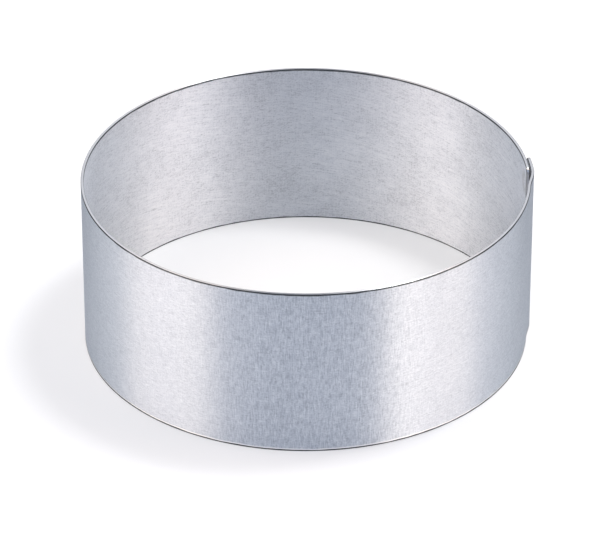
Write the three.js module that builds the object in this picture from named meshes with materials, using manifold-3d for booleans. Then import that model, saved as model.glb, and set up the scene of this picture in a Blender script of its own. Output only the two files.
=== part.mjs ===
// Pastry ring: one strip of stainless sheet, rolled round, its ends lapped and spot-welded.
// Millimetres, +Z up. The origin is on the ring's axis, in the plane that its lower rim stands on.
// The strip starts under the lap on the +X side, runs once round by way of +Y, -X and -Y,
// steps up in a joggle and ends on top of its own start.

import * as THREE from 'three';
import { mergeVertices, toCreasedNormals } from 'three/addons/utils/BufferGeometryUtils.js';
import Module from 'manifold-3d';

// The ring
const outsideDiameter = 150; // away from the lap
const bandHeight = 60;
const sheetThickness = 1;
const edgeBreak = 0.2; // radius that deburring leaves along every edge of the sheet

// The lapped seam
const seamAngle = 6; // degrees from +X to the line of welds, which is the middle of the lap
const lapLength = 9;
const lapGap = 0.45; // daylight between the two layers
const joggleLength = 11; // stretch just before the lap in which the outer end steps up
const endCornerRadius = 2; // corners of the strip, rounded before rolling

// The spot welds, in one line up the middle of the lap
const weldPitch = 15;
const weldEdgeDistance = 7.5; // from a rim to the nearest weld
const nuggetDiameter = 4.5;
const nuggetPenetration = 0.3; // depth of the melt into each layer
const nuggetClearance = 0.03;
const dimpleDiameter = 6; // mark of an electrode, on both faces of the lap
const dimpleDepth = 0.1;

// Fineness of the facets
const facetAngle = 2.5; // degrees of turn along the strip
const joggleFacets = 8;
const cornerFacets = 4;
const breakFacets = 1; // pairs of facets round an edge break
const weldSides = 20;
const weldRings = 8;
const mergeDistance = 1e-5;

// What follows from the driving dimensions
const edgeBreakLimit = 0.2; // largest share of the sheet's thickness that an edge break may take
const breakRadius = Math.min(edgeBreak, edgeBreakLimit * sheetThickness);
const meanRadius = (outsideDiameter - sheetThickness) / 2;
const lapRise = sheetThickness + lapGap; // from the middle of one layer to the middle of the other
const lapRadius = meanRadius + lapRise / 2; // middle of the daylight at the welds
const stripLength = 2 * Math.PI * meanRadius + lapLength;
const joggleEnd = stripLength - lapLength;
const joggleStart = joggleEnd - joggleLength;
const seamTurn = THREE.MathUtils.degToRad(seamAngle);
const startAngle = seamTurn - lapLength / meanRadius / 2;

// Radius of the middle of the sheet, at a distance along the strip
function radiusAt(distance) {
  return meanRadius + lapRise * THREE.MathUtils.smoothstep(distance, joggleStart, joggleEnd);
}

// Section across the strip, as x outwards and y upwards, with its edges broken
function sheetSection(width, height) {
  const right = width / 2 - breakRadius;
  const top = height / 2 - breakRadius;
  const quarter = Math.PI / 2;
  const outline = new THREE.Shape();
  outline.absarc(right, -top, breakRadius, -quarter, 0);
  outline.absarc(right, top, breakRadius, 0, quarter);
  outline.absarc(-right, top, breakRadius, quarter, 2 * quarter);
  outline.absarc(-right, -top, breakRadius, 2 * quarter, 3 * quarter);
  return outline.getPoints(breakFacets);
}

// Stations from one end of the strip to the middle: distance from the end, and the section there
function endStations() {
  const face = {
    distance: 0,
    width: sheetThickness - 2 * breakRadius,
    height: bandHeight - 2 * endCornerRadius - 2 * breakRadius,
  };
  const stations = [face];
  for (let i = 0; i <= cornerFacets; i += 1) {
    const turn = (i / cornerFacets) * (Math.PI / 2);
    stations.push({
      distance: breakRadius + endCornerRadius * (1 - Math.cos(turn)),
      width: sheetThickness,
      height: bandHeight - 2 * endCornerRadius * (1 - Math.sin(turn)),
    });
  }
  return stations;
}

// Equal steps along a stretch of the strip, with its end and without its start
function equalSteps(start, end, count) {
  return Array.from({ length: count }, (_, i) => THREE.MathUtils.lerp(start, end, (i + 1) / count));
}

function wallFacets(start, end) {
  return Math.ceil(THREE.MathUtils.radToDeg((end - start) / meanRadius) / facetAngle);
}

function stripStations() {
  const first = endStations();
  const last = first.map((station) => ({ ...station, distance: stripLength - station.distance }));
  last.reverse();
  const wallStart = first[first.length - 1].distance;
  const wallEnd = last[0].distance;
  const distances = [
    ...equalSteps(wallStart, joggleStart, wallFacets(wallStart, joggleStart)),
    ...equalSteps(joggleStart, joggleEnd, joggleFacets),
    ...equalSteps(joggleEnd, wallEnd, wallFacets(joggleEnd, wallEnd)).slice(0, -1),
  ];
  const between = distances.map((distance) => ({ distance, width: sheetThickness, height: bandHeight }));
  return [...first, ...between, ...last];
}

// The rolled strip: a loft through its stations, closed by a flat face at each end
function rolledStrip() {
  const positions = [];
  const triangles = [];
  const stations = stripStations();
  for (const station of stations) {
    const angle = startAngle + station.distance / meanRadius;
    const radius = radiusAt(station.distance);
    for (const point of sheetSection(station.width, station.height)) {
      const reach = radius + point.x;
      positions.push(reach * Math.cos(angle), reach * Math.sin(angle), bandHeight / 2 + point.y);
    }
  }
  const around = positions.length / 3 / stations.length;
  for (let s = 0; s + 1 < stations.length; s += 1) {
    for (let i = 0; i < around; i += 1) {
      const a = s * around + i;
      const d = s * around + ((i + 1) % around);
      triangles.push(a, a + around, d + around, a, d + around, d);
    }
  }
  const last = (stations.length - 1) * around;
  for (let i = 1; i + 1 < around; i += 1) {
    triangles.push(0, i, i + 1, last, last + i + 1, last + i);
  }
  const geometry = new THREE.BufferGeometry();
  geometry.setAttribute('position', new THREE.Float32BufferAttribute(positions, 3));
  geometry.setIndex(triangles);
  return geometry;
}

// Lens about the Y axis, closed at its two poles
function lens(radius, halfThickness) {
  const profile = [];
  for (let i = 0; i <= weldRings; i += 1) {
    const turn = (i / weldRings) * Math.PI;
    const reach = i === 0 || i === weldRings ? 0 : radius * Math.sin(turn);
    profile.push(new THREE.Vector2(reach, -halfThickness * Math.cos(turn)));
  }
  return new THREE.LatheGeometry(profile, weldSides);
}

// Domed tip of an electrode about the Y axis: its lowest point is one dimple deep below y = 0.
// wallRise is how far a hollow wall rises above y = 0 at the rim of the dimple.
function electrodeTip(wallRise) {
  const rimRadius = dimpleDiameter / 2;
  const rimHeight = dimpleDepth + wallRise;
  const domeRadius = (rimRadius ** 2 + rimHeight ** 2) / (2 * rimHeight);
  const tipAngle = 2 * Math.asin(rimRadius / domeRadius); // twice the dimple, well clear of the sheet
  const profile = [];
  for (let i = 0; i <= weldRings; i += 1) {
    const turn = (i / weldRings) * tipAngle;
    profile.push(new THREE.Vector2(
      domeRadius * Math.sin(turn),
      domeRadius * (1 - Math.cos(turn)) - dimpleDepth,
    ));
  }
  profile.push(new THREE.Vector2(0, profile[weldRings].y));
  return new THREE.LatheGeometry(profile, weldSides);
}

const weldRows = Math.max(1, Math.round((bandHeight - 2 * weldEdgeDistance) / weldPitch));
const weldHeights = [];
for (let i = 0; i <= weldRows; i += 1) {
  weldHeights.push(THREE.MathUtils.lerp(weldEdgeDistance, bandHeight - weldEdgeDistance, i / weldRows));
}

// Moves a shape made about the Y axis to the seam, with +Y turned outwards or inwards along a radius
function atSeam(geometry, radius, height, outwards) {
  geometry.rotateZ(outwards ? -Math.PI / 2 : Math.PI / 2);
  geometry.translate(radius, 0, height);
  geometry.rotateZ(seamTurn);
  return geometry;
}

const wasm = await Module();
wasm.setup();

function solidOf(geometry) {
  const bare = geometry.clone();
  bare.deleteAttribute('normal');
  bare.deleteAttribute('uv');
  const merged = mergeVertices(bare, mergeDistance);
  const index = merged.getIndex().array;
  const triangles = [];
  for (let i = 0; i < index.length; i += 3) {
    const [a, b, c] = index.slice(i, i + 3);
    if (a !== b && b !== c && c !== a) {
      triangles.push(a, b, c);
    }
  }
  return new wasm.Manifold(new wasm.Mesh({
    numProp: 3,
    vertProperties: new Float32Array(merged.getAttribute('position').array),
    triVerts: new Uint32Array(triangles),
  }));
}

function geometryOf(solid) {
  const mesh = solid.getMesh();
  const geometry = new THREE.BufferGeometry();
  geometry.setAttribute('position', new THREE.BufferAttribute(mesh.vertProperties, 3));
  geometry.setIndex(new THREE.BufferAttribute(mesh.triVerts, 1));
  return geometry;
}

// The strip with the electrode marks pressed into both faces of the lap,
// and a seat melted into each layer for every nugget
function weldedStrip() {
  let strip = solidOf(rolledStrip());
  const outerFace = lapRadius + lapGap / 2 + sheetThickness;
  const innerFace = lapRadius - lapGap / 2 - sheetThickness;
  const hollowRise = dimpleDiameter ** 2 / 8 / innerFace;
  const seatRadius = nuggetDiameter / 2 + nuggetClearance;
  const seatDepth = lapGap / 2 + nuggetPenetration + nuggetClearance;
  for (const height of weldHeights) {
    const cutters = [
      atSeam(electrodeTip(0), outerFace, height, true),
      atSeam(electrodeTip(hollowRise), innerFace, height, false),
      atSeam(lens(seatRadius, seatDepth), lapRadius, height, true),
    ];
    for (const cutter of cutters) {
      strip = strip.subtract(solidOf(cutter));
    }
  }
  return geometryOf(strip);
}

const satinSteel = new THREE.MeshStandardMaterial({ color: 0xc3c7d0, roughness: 0.38, metalness: 1 });
const weldSteel = new THREE.MeshStandardMaterial({ color: 0xa7a39c, roughness: 0.5, metalness: 1 });
const creaseAngle = THREE.MathUtils.degToRad(30);

const ring = new THREE.Group();

const band = new THREE.Mesh(toCreasedNormals(weldedStrip(), creaseAngle), satinSteel);
band.name = 'ring_band';
ring.add(band);

const seam = new THREE.Group();
seam.rotation.z = seamTurn;
ring.add(seam);

weldHeights.forEach((height, i) => {
  const nugget = new THREE.Mesh(lens(nuggetDiameter / 2, lapGap / 2 + nuggetPenetration), weldSteel);
  nugget.name = `spot_weld_${i + 1}`;
  nugget.position.set(lapRadius, 0, height);
  nugget.rotation.z = -Math.PI / 2;
  seam.add(nugget);
});

export default ring;
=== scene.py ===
"""Looks of a pastry ring: a strip of satin stainless sheet, rolled round, lapped and spot-welded."""

import math

import bmesh
import bpy
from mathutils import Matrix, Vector


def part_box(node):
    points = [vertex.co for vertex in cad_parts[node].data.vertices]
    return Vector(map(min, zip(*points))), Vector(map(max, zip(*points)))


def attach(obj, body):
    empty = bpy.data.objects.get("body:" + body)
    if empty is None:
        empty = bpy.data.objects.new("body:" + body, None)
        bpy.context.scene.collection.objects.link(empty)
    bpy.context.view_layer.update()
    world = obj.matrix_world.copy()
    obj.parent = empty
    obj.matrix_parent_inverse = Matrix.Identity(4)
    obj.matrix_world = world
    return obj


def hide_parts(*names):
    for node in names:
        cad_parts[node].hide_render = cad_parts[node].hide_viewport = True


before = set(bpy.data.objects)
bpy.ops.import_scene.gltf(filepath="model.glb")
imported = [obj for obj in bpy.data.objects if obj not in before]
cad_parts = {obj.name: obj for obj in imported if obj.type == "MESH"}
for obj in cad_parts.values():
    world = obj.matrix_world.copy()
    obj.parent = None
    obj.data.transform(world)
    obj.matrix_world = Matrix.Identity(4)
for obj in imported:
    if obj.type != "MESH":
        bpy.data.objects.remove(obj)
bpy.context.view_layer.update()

MM = 0.001

# The strip, in metres
SHEET = 1.0 * MM
EDGE_BREAK = 0.2 * MM
LAP_LENGTH = 9 * MM
LAP_GAP = 0.45 * MM
LAP_RISE = SHEET + LAP_GAP
JOGGLE_LENGTH = 11 * MM
CORNER_RADIUS = 2 * MM
MARK_DIAMETER = 6 * MM
MARK_DEPTH = 0.1 * MM

# Fineness of the strip's mesh, which is finer at the ends: over the lap, the joggle and a little more
CORNER_SEGMENTS = 6
BREAK_SEGMENTS = 3
WALL_STEP = 1.6 * MM
END_STEP = 0.5 * MM
ROW_STEP = 0.75 * MM
LITTLE_MORE = 2 * MM
FINE_LENGTH = LAP_LENGTH + JOGGLE_LENGTH + LITTLE_MORE
SMOOTH_ANGLE = math.radians(40)

# Limits for picking parts of the mesh: closeness to a point, and the share of a direction that counts
SAME_PLACE = 0.001 * MM
NEARLY_ALL = 0.9
HALF = 0.5

# Places that follow from the frame. The middle of the flat strip ends up opposite the seam.
BAND_LOW, BAND_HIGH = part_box("ring_band")
HEIGHT = BAND_HIGH.z - BAND_LOW.z
WELD_NODES = sorted(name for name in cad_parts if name.startswith("spot_weld"))
WELD_PLACES = [sum(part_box(name), Vector()) / 2 for name in WELD_NODES]
WELD_PITCH = (WELD_PLACES[-1].z - WELD_PLACES[0].z) / (len(WELD_PLACES) - 1)
MEAN_RADIUS = WELD_PLACES[0].xy.length - LAP_RISE / 2
SEAM_ANGLE = math.atan2(WELD_PLACES[0].y, WELD_PLACES[0].x)
STRIP_ANGLE = math.tau + LAP_LENGTH / MEAN_RADIUS
STRIP_LENGTH = STRIP_ANGLE * MEAN_RADIUS
WELD_LINE = (STRIP_LENGTH - LAP_LENGTH) / 2
FRONT_LINE = (math.pi / 2 - SEAM_ANGLE) * MEAN_RADIUS

# The steel: tones of the strokes on each face of the sheet, from the darkest to the palest. The inside's
# tones are painted paler than the outside's, as painted light on the inner wall
OUTSIDE_TONES = [(0.1, (0.51, 0.545, 0.59)), (0.5, (0.7, 0.735, 0.78)), (0.9, (0.87, 0.9, 0.935))]
INSIDE_TONES_PAINTED_PALER = [(0.1, (0.51, 0.52, 0.535)), (0.5, (0.845, 0.854, 0.869)), (0.9, (0.99, 0.99, 0.99))]
OUTSIDE_ROUGHNESS = 0.65
INSIDE_ROUGHNESS = 0.73
# The glancing tint is nearly black on the outside: painted shade that darkens the outside where it turns
# away at the ring's sides
OUTSIDE_GLANCING_PAINTED_SHADE = 0.05
INSIDE_GLANCING = 1.0
STROKE_GLOSS = 0.2
STROKE_RELIEF = 0.03 * MM
RELIEF_STRENGTH = 0.3
UPRIGHT_SPREAD = 0.95
QUARTER_TURN = 0.25

# Strokes all over the sheet: weight, turn from the strip's length in degrees, length and width
EVEN_STROKES = [
    (0.5, (0, 4 * MM, 0.5 * MM)),
    (0.35, (35, 3 * MM, 0.5 * MM)),
    (0.35, (-25, 3.5 * MM, 0.5 * MM)),
    (0.6, (0, 0.6 * MM, 0.5 * MM)),
]
STROKE_DETAIL = 2.0
STROKE_BREAKUP = 0.6

# Upright strokes, which are stronger round the front of the outside
UPRIGHT = (90, 2.5 * MM, 0.4 * MM)
UPRIGHT_WEIGHT = 0.35
UPRIGHT_AT_FRONT = 0.75
FRONT_REACH = 40 * MM

# Broad patches, which are stronger inside, and the long hairlines that show in some of them there
PATCHES = (0, 25 * MM, 18 * MM)
PATCH_WEIGHT = 0.15
PATCH_INSIDE = 0.25
HAIRLINES = (-9, 12 * MM, 0.55 * MM)
HAIRLINE_WEIGHT = 0.7
HAIRLINE_PATCHES = (0.4, 0.65)

# The cut edge, the uneven dark line beside it, which is painted shade for the dark reflection in the
# broken edge, and a painted highlight above the foot for the floor's reflection there
CUT_TONE = (0.64, 0.635, 0.63, 1)
PAINTED_DARK_LINE_TONE = (0.07, 0.075, 0.08, 1)
PAINTED_LINE_WIDTH = 0.6 * MM
PAINTED_LINE_WANDER = 0.5 * MM
PAINTED_LINE_WAVES = (0, 6 * MM, 4 * MM)
PAINTED_FOOT_HIGHLIGHT_TONE = (0.95, 0.95, 0.95, 1)
PAINTED_FOOT_HIGHLIGHT_WIDTH = 0.4 * MM
EDGE_SMOOTHER = 0.18

# The rings round the welds: distance from the weld in diameters of its mark, and strength of the tint
HEAT_TONE = (0.4, 0.37, 0.33, 1)
HEAT_TINT = 0.35
HEAT_RING = [(0.2, 0.25), (0.46, 1), (0.55, 0.6), (0.8, 0)]

# The re-melted metal of the welds
MELT_TONES = [(0.35, (0.42, 0.4, 0.36)), (0.65, (0.58, 0.55, 0.5))]
MELT_SCALE = 900.0
MELT_DETAIL = 4.0
MELT_ROUGHNESS = 0.35
MELT_UNEVENNESS = 0.3
MELT_RELIEF = 0.05 * MM
MELT_RELIEF_STRENGTH = 0.4

# The floor: what it gives off to the camera and to reflections, and its own tone under the lamps
FLOOR_GLOW = 0.36
FLOOR_TONE = 0.52
FLOOR_RADIUS = 6
FLOOR_SIDES = 96

# The room: upward share of a direction and the light from there, in front of the ring and behind it
ROOM_FRONT = [
    (0.1, (0.32, 0.33, 0.46)),
    (0.42, (0.67, 0.8, 1.06)),
    (0.65, (0.67, 0.8, 1.06)),
    (0.9, (0.02, 0.03, 0.04)),
]
ROOM_BACK = [
    (0.1, (0.02, 0.03, 0.04)),
    (0.42, (1.34, 1.39, 1.52)),
    (0.65, (1.34, 1.39, 1.52)),
    (0.9, (0.02, 0.03, 0.04)),
]
ROOM_BLEND = 0.25

# The lamps: azimuth and elevation in degrees, distance and size in metres, radiance, colour
LAMPS = {
    "left_box": (-90, 55, 1.1, (0.7, 0.7), 3.8, (1, 0.88, 0.79)),
    "right_box": (90, 55, 1.1, (0.7, 0.7), 2.7, (1, 0.81, 0.7)),
    "left_card": (-52, 0, 0.45, (0.15, 0.045), 8.3, (1, 0.82, 0.64)),
    "left_side_card": (-75, 0, 0.45, (0.2, 0.045), 4.8, (1, 0.77, 0.58)),
    "right_card": (43, 0, 0.45, (0.15, 0.045), 15, (1, 0.86, 0.72)),
    "right_side_card": (66, 0, 0.45, (0.2, 0.045), 6.8, (1, 0.82, 0.63)),
    "key": (116, 70, 1.2, (0.25, 0.25), 35, (0.95, 0.98, 1)),
}

# The camera, fitted to the photograph of 600 by 552 pixels
IMAGE_WIDTH = 600
FOCAL_PIXELS = 4322
SENSOR_WIDTH = 36
CAMERA_DISTANCE = 1456.4 * MM
CAMERA_ELEVATION = math.radians(31.24)
CAMERA_TURN = math.radians(1.15)
RING_RIGHT_OF_CENTRE = 5.7
RING_ABOVE_CENTRE = 22.8


def choose(strip, kind, wanted):
    """Selects the vertices, edges or faces of a mesh in edit mode that pass a test."""
    bpy.ops.mesh.select_all(action="DESELECT")
    bpy.ops.mesh.select_mode(type={"verts": "VERT", "edges": "EDGE", "faces": "FACE"}[kind])
    mesh = bmesh.from_edit_mesh(strip.data)
    for element in getattr(mesh, kind):
        element.select_set(wanted(element))
    bmesh.update_edit_mesh(strip.data)


def runs_through_sheet(edge):
    along = edge.verts[1].co - edge.verts[0].co
    return abs(along.y) > NEARLY_ALL * along.length


def borders_a_face_of_the_sheet(edge):
    flat = [abs(face.normal.y) > NEARLY_ALL for face in edge.link_faces]
    return any(flat) and not all(flat)


def cut_places():
    """Where the flat strip is cut across, closer together near its ends."""
    half = STRIP_LENGTH / 2
    wall_length = STRIP_LENGTH - 2 * FINE_LENGTH
    wall_cuts = round(wall_length / WALL_STEP)
    start = [-half + i * END_STEP for i in range(1, round(FINE_LENGTH / END_STEP) + 1)]
    middle = [-half + FINE_LENGTH + i * wall_length / wall_cuts for i in range(1, wall_cuts)]
    end = [-place for place in reversed(start)]
    return start + middle + end


def cut(places, normal):
    for place in places:
        bpy.ops.mesh.select_all(action="SELECT")
        bpy.ops.mesh.bisect(plane_co=place * Vector(normal), plane_no=normal)


def press_mark(strip, place, push):
    """Presses the domed mark of an electrode into one face of the sheet."""
    centre = min((vert.co for vert in strip.data.vertices), key=lambda co: (co - place).length).copy()
    bpy.ops.object.mode_set(mode="EDIT")
    choose(strip, "verts", lambda vert: (vert.co - centre).length < SAME_PLACE)
    bpy.ops.transform.translate(
        value=push,
        use_proportional_edit=True,
        use_proportional_connected=True,
        proportional_edit_falloff="INVERSE_SQUARE",
        proportional_size=MARK_DIAMETER / 2,
    )
    bpy.ops.object.mode_set(mode="OBJECT")


def flat_strip():
    """The strip as it is cut: corners rounded, edges broken, electrode marks pressed in near both ends."""
    bpy.ops.object.select_all(action="DESELECT")
    bpy.ops.mesh.primitive_cube_add(size=1, location=(0, 0, HEIGHT / 2))
    strip = bpy.context.object
    strip.name = "satin_band"
    strip.scale = (STRIP_LENGTH, SHEET, HEIGHT)
    bpy.ops.object.transform_apply(location=True, rotation=True, scale=True)
    bpy.ops.object.mode_set(mode="EDIT")
    choose(strip, "edges", runs_through_sheet)
    bpy.ops.mesh.bevel(offset=CORNER_RADIUS, segments=CORNER_SEGMENTS)
    choose(strip, "edges", borders_a_face_of_the_sheet)
    bpy.ops.mesh.bevel(offset=EDGE_BREAK, segments=BREAK_SEGMENTS)
    cut(cut_places(), (1, 0, 0))
    cut([ROW_STEP * i for i in range(1, round(HEIGHT / ROW_STEP))], (0, 0, 1))
    bpy.ops.object.mode_set(mode="OBJECT")
    for weld in WELD_PLACES:
        press_mark(strip, Vector((WELD_LINE, -SHEET / 2, weld.z)), (0, MARK_DEPTH, 0))
        press_mark(strip, Vector((-WELD_LINE, SHEET / 2, weld.z)), (0, -MARK_DEPTH, 0))
    return strip


def keep_flat_places(strip):
    """Stores where each point lay on the flat strip, for its materials to read."""
    places = [value for vert in strip.data.vertices for value in vert.co]
    kept = strip.data.attributes.new("flat_place", "FLOAT_VECTOR", "POINT")
    kept.data.foreach_set("vector", places)


def paint(strip):
    """Gives each face of the sheet its own finish; the inside's paler tones are painted light. The face at
    +Y ends up inside the ring.
    """
    outside = satin_sheet("satin_outside", OUTSIDE_TONES, PAINTED_FOOT_HIGHLIGHT_WIDTH, OUTSIDE_ROUGHNESS, OUTSIDE_GLANCING_PAINTED_SHADE)
    inside = satin_sheet("satin_inside", INSIDE_TONES_PAINTED_PALER, 0, INSIDE_ROUGHNESS, INSIDE_GLANCING)
    strip.data.materials.append(outside)
    strip.data.materials.append(inside)
    bpy.ops.object.mode_set(mode="EDIT")
    choose(strip, "faces", lambda face: face.normal.y > HALF)
    strip.active_material_index = 1
    bpy.ops.object.material_slot_assign()
    bpy.ops.object.mode_set(mode="OBJECT")


def joggle(strip):
    """Steps the end at +X out by one layer, in a smooth S, so that it can lie over the other end."""
    finish = STRIP_LENGTH / 2 - LAP_LENGTH
    start = finish - JOGGLE_LENGTH
    columns = [place for place in cut_places() if start < place < finish + END_STEP]
    reached = 0
    bpy.ops.object.mode_set(mode="EDIT")
    for column in columns:
        share = min((column - start) / JOGGLE_LENGTH, 1)
        rise = LAP_RISE * share * share * (3 - 2 * share)
        choose(strip, "verts", lambda vert: vert.co.x > column - END_STEP / 10)
        bpy.ops.transform.translate(value=(0, reached - rise, 0))
        reached = rise
    bpy.ops.object.mode_set(mode="OBJECT")


def roll(strip):
    """Bends the flat strip round the Z axis, which leaves its lap at +Y, and turns the lap to the seam."""
    bend = strip.modifiers.new("roll", "SIMPLE_DEFORM")
    bend.deform_method = "BEND"
    bend.deform_axis = "Z"
    bend.angle = STRIP_ANGLE
    bpy.ops.object.modifier_apply(modifier=bend.name)
    strip.location.y = -MEAN_RADIUS
    bpy.ops.object.transform_apply(location=True, rotation=True, scale=True)
    strip.rotation_euler.z = SEAM_ANGLE + 1.5 * math.pi
    bpy.ops.object.transform_apply(location=True, rotation=True, scale=True)
    bpy.ops.object.shade_smooth_by_angle(angle=SMOOTH_ANGLE)


def node(tree, kind, settings=None, inputs=None):
    """Adds a node. An input takes a plain value, or a link where another node's output is given."""
    made = tree.nodes.new("ShaderNode" + kind)
    for name, value in (settings or {}).items():
        setattr(made, name, value)
    for name, value in (inputs or {}).items():
        if isinstance(value, bpy.types.NodeSocket):
            tree.links.new(value, made.inputs[name])
        else:
            made.inputs[name].default_value = value
    return made


def reckon(tree, operation, first, second=0.0, third=0.0):
    return node(tree, "Math", {"operation": operation}, {0: first, 1: second, 2: third}).outputs[0]


def step(tree, value, low, high):
    """Goes from 0 to 1 while the value goes from low to high."""
    return node(tree, "MapRange", None, {"Value": value, "From Min": low, "From Max": high}).outputs[0]


def length(tree, across, up):
    offset = node(tree, "CombineXYZ", None, {"X": across, "Y": up}).outputs[0]
    return node(tree, "VectorMath", {"operation": "LENGTH"}, {0: offset}).outputs["Value"]


def ramp(tree, factor, stops):
    """A colour ramp through stops of position and colour."""
    made = node(tree, "ValToRGB", None, {"Fac": factor})
    colours = made.color_ramp.elements
    while len(colours) < len(stops):
        colours.new(1)
    for element, (position, colour) in zip(colours, stops):
        element.position = position
        element.color = (*colour, 1)
    return made.outputs["Color"]


def mix_colours(tree, factor, first, second):
    made = node(tree, "MixRGB", None, {"Fac": factor, "Color1": first, "Color2": second})
    return made.outputs["Color"]


def new_material(name):
    material = bpy.data.materials.new(name)
    material.use_nodes = True
    return material, material.node_tree, material.node_tree.nodes["Principled BSDF"]


def strokes(tree, place, kind):
    """Brushed strokes on the flat strip, as noise drawn out along one direction, from 0 to 1."""
    turn, long, wide = kind
    turned = node(tree, "Mapping", {"vector_type": "TEXTURE"}, {
        "Vector": place,
        "Rotation": (0, math.radians(turn), 0),
        "Scale": (long, wide, wide),
    })
    noise = node(tree, "TexNoise", None, {
        "Vector": turned.outputs["Vector"],
        "Scale": 1.0,
        "Detail": STROKE_DETAIL,
        "Roughness": STROKE_BREAKUP,
    })
    return noise.outputs["Fac"]


def together(tree, layers):
    """Adds layers of strokes by their weights. The sum is 0.5 where every layer is even."""
    total = 0.5
    for weight, layer in layers:
        even = reckon(tree, "SUBTRACT", layer, 0.5)
        total = reckon(tree, "MULTIPLY_ADD", even, weight, total)
    return total


def brushing(tree, place, flat):
    """All the strokes of the satin finish, as one number about 0.5."""
    outside = step(tree, flat["Y"], 0, -SHEET / 2)
    inside = reckon(tree, "SUBTRACT", 1.0, outside)
    from_front = reckon(tree, "ABSOLUTE", reckon(tree, "SUBTRACT", flat["X"], FRONT_LINE))
    near_front = step(tree, from_front, FRONT_REACH, FRONT_REACH / 2)
    outside_front = reckon(tree, "MULTIPLY", near_front, outside)
    upright_weight = reckon(tree, "MULTIPLY_ADD", outside_front, UPRIGHT_AT_FRONT, UPRIGHT_WEIGHT)

    patches = strokes(tree, place, PATCHES)
    patch_weight = reckon(tree, "MULTIPLY_ADD", inside, PATCH_INSIDE, PATCH_WEIGHT)
    shown = reckon(tree, "MULTIPLY", inside, step(tree, patches, *HAIRLINE_PATCHES))
    hairline_weight = reckon(tree, "MULTIPLY", shown, HAIRLINE_WEIGHT)

    layers = [(weight, strokes(tree, place, kind)) for weight, kind in EVEN_STROKES]
    layers.append((upright_weight, strokes(tree, place, UPRIGHT)))
    layers.append((hairline_weight, strokes(tree, place, HAIRLINES)))
    layers.append((patch_weight, patches))
    return together(tree, layers)


def heat_marks(tree, along, height):
    """Dull, faintly straw-coloured rings round the welds, from 0 to 1."""
    across = reckon(tree, "SUBTRACT", reckon(tree, "ABSOLUTE", along), WELD_LINE)
    above = reckon(tree, "SUBTRACT", height, WELD_PLACES[0].z)
    up = reckon(tree, "PINGPONG", above, WELD_PITCH / 2)
    share = reckon(tree, "DIVIDE", length(tree, across, up), MARK_DIAMETER)
    return ramp(tree, share, [(place, (tint, tint, tint)) for place, tint in HEAT_RING])


def distance_from_edge(tree, along, height):
    """How far a place on the flat strip is from its cut edge, which is rounded at the corners."""
    past_end = reckon(tree, "SUBTRACT", reckon(tree, "ABSOLUTE", along), STRIP_LENGTH / 2 - CORNER_RADIUS)
    from_middle = reckon(tree, "ABSOLUTE", reckon(tree, "SUBTRACT", height, HEIGHT / 2))
    past_rim = reckon(tree, "SUBTRACT", from_middle, HEIGHT / 2 - CORNER_RADIUS)
    nearer = reckon(tree, "MINIMUM", reckon(tree, "MAXIMUM", past_end, past_rim), 0.0)
    beyond_end = reckon(tree, "MAXIMUM", past_end, 0.0)
    beyond_rim = reckon(tree, "MAXIMUM", past_rim, 0.0)
    from_corner = length(tree, beyond_end, beyond_rim)
    return reckon(tree, "SUBTRACT", CORNER_RADIUS, reckon(tree, "ADD", from_corner, nearer))


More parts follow.
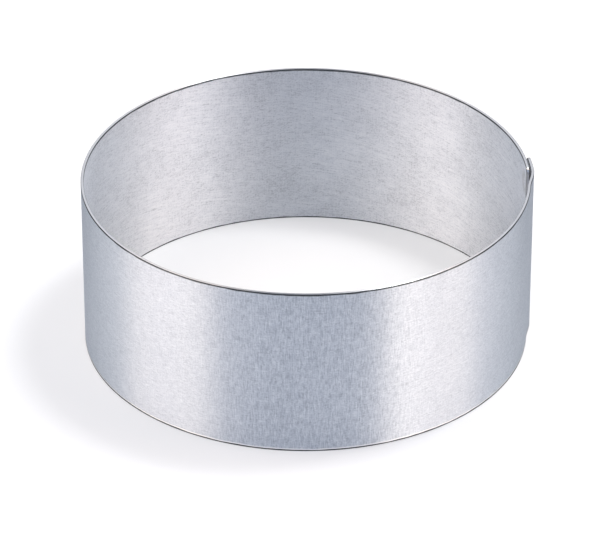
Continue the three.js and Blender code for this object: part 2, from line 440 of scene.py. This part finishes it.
def satin_sheet(name, tones, painted_highlight_width, roughness, glancing):
    """Fine brushed sheet, with a pale cut edge, a painted dark line of shade on each side of it, and a
    painted highlight beside that line along the foot.
    """
    material, tree, steel = new_material(name)
    place = node(tree, "Attribute", {"attribute_name": "flat_place"}).outputs["Vector"]
    flat = node(tree, "SeparateXYZ", None, {"Vector": place}).outputs
    fine = brushing(tree, place, flat)
    from_edge = distance_from_edge(tree, flat["X"], flat["Z"])
    # Masks for the painted shade along each rim, which leaves room for a painted highlight at the foot
    wander = reckon(tree, "SUBTRACT", strokes(tree, place, PAINTED_LINE_WAVES), 0.5)
    uneven = reckon(tree, "MULTIPLY_ADD", wander, PAINTED_LINE_WANDER, from_edge)
    lower_half = step(tree, flat["Z"], 0.55 * HEIGHT, 0.45 * HEIGHT)
    from_painted_lines = reckon(tree, "MULTIPLY_ADD", lower_half, -painted_highlight_width, uneven)
    wall = step(tree, from_painted_lines, 0.8 * PAINTED_LINE_WIDTH, 1.2 * PAINTED_LINE_WIDTH)
    beside_cut = step(tree, from_edge, 0.1 * EDGE_BREAK, 0.3 * EDGE_BREAK)

    heat = reckon(tree, "MULTIPLY", heat_marks(tree, flat["X"], flat["Z"]), HEAT_TINT)
    tone = mix_colours(tree, heat, ramp(tree, fine, tones), HEAT_TONE)
    # Painted shade: the dark line along each rim; painted highlight: the pale line above it at the foot
    past_painted_dark = step(tree, uneven, 0.8 * PAINTED_LINE_WIDTH, PAINTED_LINE_WIDTH)
    painted_line_tone = mix_colours(tree, reckon(tree, "MULTIPLY", lower_half, past_painted_dark), PAINTED_DARK_LINE_TONE, PAINTED_FOOT_HIGHLIGHT_TONE)
    cut_and_painted_line_tone = mix_colours(tree, beside_cut, CUT_TONE, painted_line_tone)
    tree.links.new(mix_colours(tree, wall, cut_and_painted_line_tone, tone), steel.inputs["Base Color"])

    wall_roughness = reckon(tree, "MULTIPLY_ADD", fine, -STROKE_GLOSS, roughness)
    smooth_edge = reckon(tree, "SUBTRACT", wall_roughness, EDGE_SMOOTHER)
    smoothing = reckon(tree, "MULTIPLY", wall, EDGE_SMOOTHER)
    tree.links.new(reckon(tree, "ADD", smooth_edge, smoothing), steel.inputs["Roughness"])

    relief = node(tree, "Bump", None, {
        "Strength": RELIEF_STRENGTH,
        "Distance": STROKE_RELIEF,
        "Height": fine,
    })
    tree.links.new(relief.outputs["Normal"], steel.inputs["Normal"])
    steel.inputs["Metallic"].default_value = 1
    # Glancing tint: painted shade on the outside, where it is nearly black
    steel.inputs["Specular Tint"].default_value = (glancing, glancing, glancing, 1)
    steel.inputs["Anisotropic"].default_value = UPRIGHT_SPREAD
    steel.inputs["Anisotropic Rotation"].default_value = QUARTER_TURN
    return material


def melted_steel():
    """Re-melted metal, dull and faintly straw coloured."""
    material, tree, steel = new_material("melted_steel")
    place = node(tree, "TexCoord").outputs["Object"]
    noise = node(tree, "TexNoise", None, {"Vector": place, "Scale": MELT_SCALE, "Detail": MELT_DETAIL})
    melt = noise.outputs["Fac"]
    tree.links.new(ramp(tree, melt, MELT_TONES), steel.inputs["Base Color"])
    roughness = reckon(tree, "MULTIPLY_ADD", melt, MELT_UNEVENNESS, MELT_ROUGHNESS)
    tree.links.new(roughness, steel.inputs["Roughness"])
    relief = node(tree, "Bump", None, {
        "Strength": MELT_RELIEF_STRENGTH,
        "Distance": MELT_RELIEF,
        "Height": melt,
    })
    tree.links.new(relief.outputs["Normal"], steel.inputs["Normal"])
    steel.inputs["Metallic"].default_value = 1
    return material


def pale_floor():
    """White to the camera and in reflections, and lit enough to show the ring's shadow."""
    material, tree, surface = new_material("pale_floor")
    path = node(tree, "LightPath").outputs
    seen = reckon(tree, "MAXIMUM", path["Is Camera Ray"], path["Is Glossy Ray"])
    seen = reckon(tree, "MAXIMUM", seen, path["Is Transmission Ray"])
    tree.links.new(reckon(tree, "MULTIPLY", seen, FLOOR_GLOW), surface.inputs["Emission Strength"])
    surface.inputs["Emission Color"].default_value = (1, 1, 1, 1)
    surface.inputs["Base Color"].default_value = (FLOOR_TONE, FLOOR_TONE, FLOOR_TONE, 1)
    surface.inputs["Roughness"].default_value = 1
    surface.inputs["Specular IOR Level"].default_value = 0
    return material


def floor():
    bpy.ops.object.select_all(action="DESELECT")
    bpy.ops.mesh.primitive_circle_add(vertices=FLOOR_SIDES, radius=FLOOR_RADIUS, fill_type="NGON")
    ground = bpy.context.object
    ground.name = "floor"
    ground.data.materials.append(pale_floor())


def softbox(name, azimuth, elevation, distance, size, radiance, colour):
    """A flat lamp that faces the ring. Azimuth is in degrees to the right of the ring's front, at -Y."""
    turn, rise = math.radians(azimuth), math.radians(elevation)
    away = Vector((math.sin(turn) * math.cos(rise), -math.cos(turn) * math.cos(rise), math.sin(rise)))
    lamp = bpy.data.lights.new(name, "AREA")
    lamp.shape = "RECTANGLE"
    lamp.size, lamp.size_y = size
    lamp.energy = radiance * math.pi * size[0] * size[1]
    lamp.color = colour
    box = bpy.data.objects.new(name, lamp)
    box.location = distance * away + Vector((0, 0, HEIGHT / 2))
    box.rotation_euler = (-away).to_track_quat("-Z", "Y").to_euler()
    bpy.context.scene.collection.objects.link(box)


def surroundings():
    """A bluish room, palest at half height, more so behind the ring than in front of it."""
    world = bpy.data.worlds.new("room")
    world.use_nodes = True
    tree = world.node_tree
    way = node(tree, "SeparateXYZ", None, {"Vector": node(tree, "TexCoord").outputs["Generated"]}).outputs
    front = ramp(tree, way["Z"], ROOM_FRONT)
    back = ramp(tree, way["Z"], ROOM_BACK)
    behind = step(tree, way["Y"], -ROOM_BLEND, ROOM_BLEND)
    tree.links.new(mix_colours(tree, behind, front, back), tree.nodes["Background"].inputs["Color"])
    bpy.context.scene.world = world


def studio():
    surroundings()
    for name, lamp in LAMPS.items():
        softbox(name, *lamp)


def camera():
    """Stands where the photograph was taken and looks a little below the ring's middle."""
    lens = bpy.data.cameras.new("camera")
    lens.sensor_fit = "HORIZONTAL"
    lens.sensor_width = SENSOR_WIDTH
    lens.lens = FOCAL_PIXELS / IMAGE_WIDTH * SENSOR_WIDTH
    view = bpy.data.objects.new("camera", lens)
    middle = Vector((0, 0, HEIGHT / 2))
    right = Vector((math.cos(CAMERA_TURN), -math.sin(CAMERA_TURN), 0))
    front = Vector((-math.sin(CAMERA_TURN), -math.cos(CAMERA_TURN), 0))
    away = math.cos(CAMERA_ELEVATION) * front + Vector((0, 0, math.sin(CAMERA_ELEVATION)))
    up = away.cross(right)
    pixel = CAMERA_DISTANCE / FOCAL_PIXELS
    aim = middle - pixel * (RING_RIGHT_OF_CENTRE * right + RING_ABOVE_CENTRE * up)
    view.location = middle + CAMERA_DISTANCE * away
    view.rotation_euler = (aim - view.location).to_track_quat("-Z", "Y").to_euler()
    bpy.context.scene.collection.objects.link(view)
    bpy.context.scene.camera = view


def band():
    strip = flat_strip()
    keep_flat_places(strip)
    paint(strip)
    joggle(strip)
    roll(strip)
    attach(strip, "root")
    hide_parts("ring_band")


def welds():
    finish = melted_steel()
    for name in WELD_NODES:
        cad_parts[name].material_slots[0].material = finish


band()
welds()
floor()
studio()
camera()
bpy.context.scene.view_settings.view_transform = "Standard"
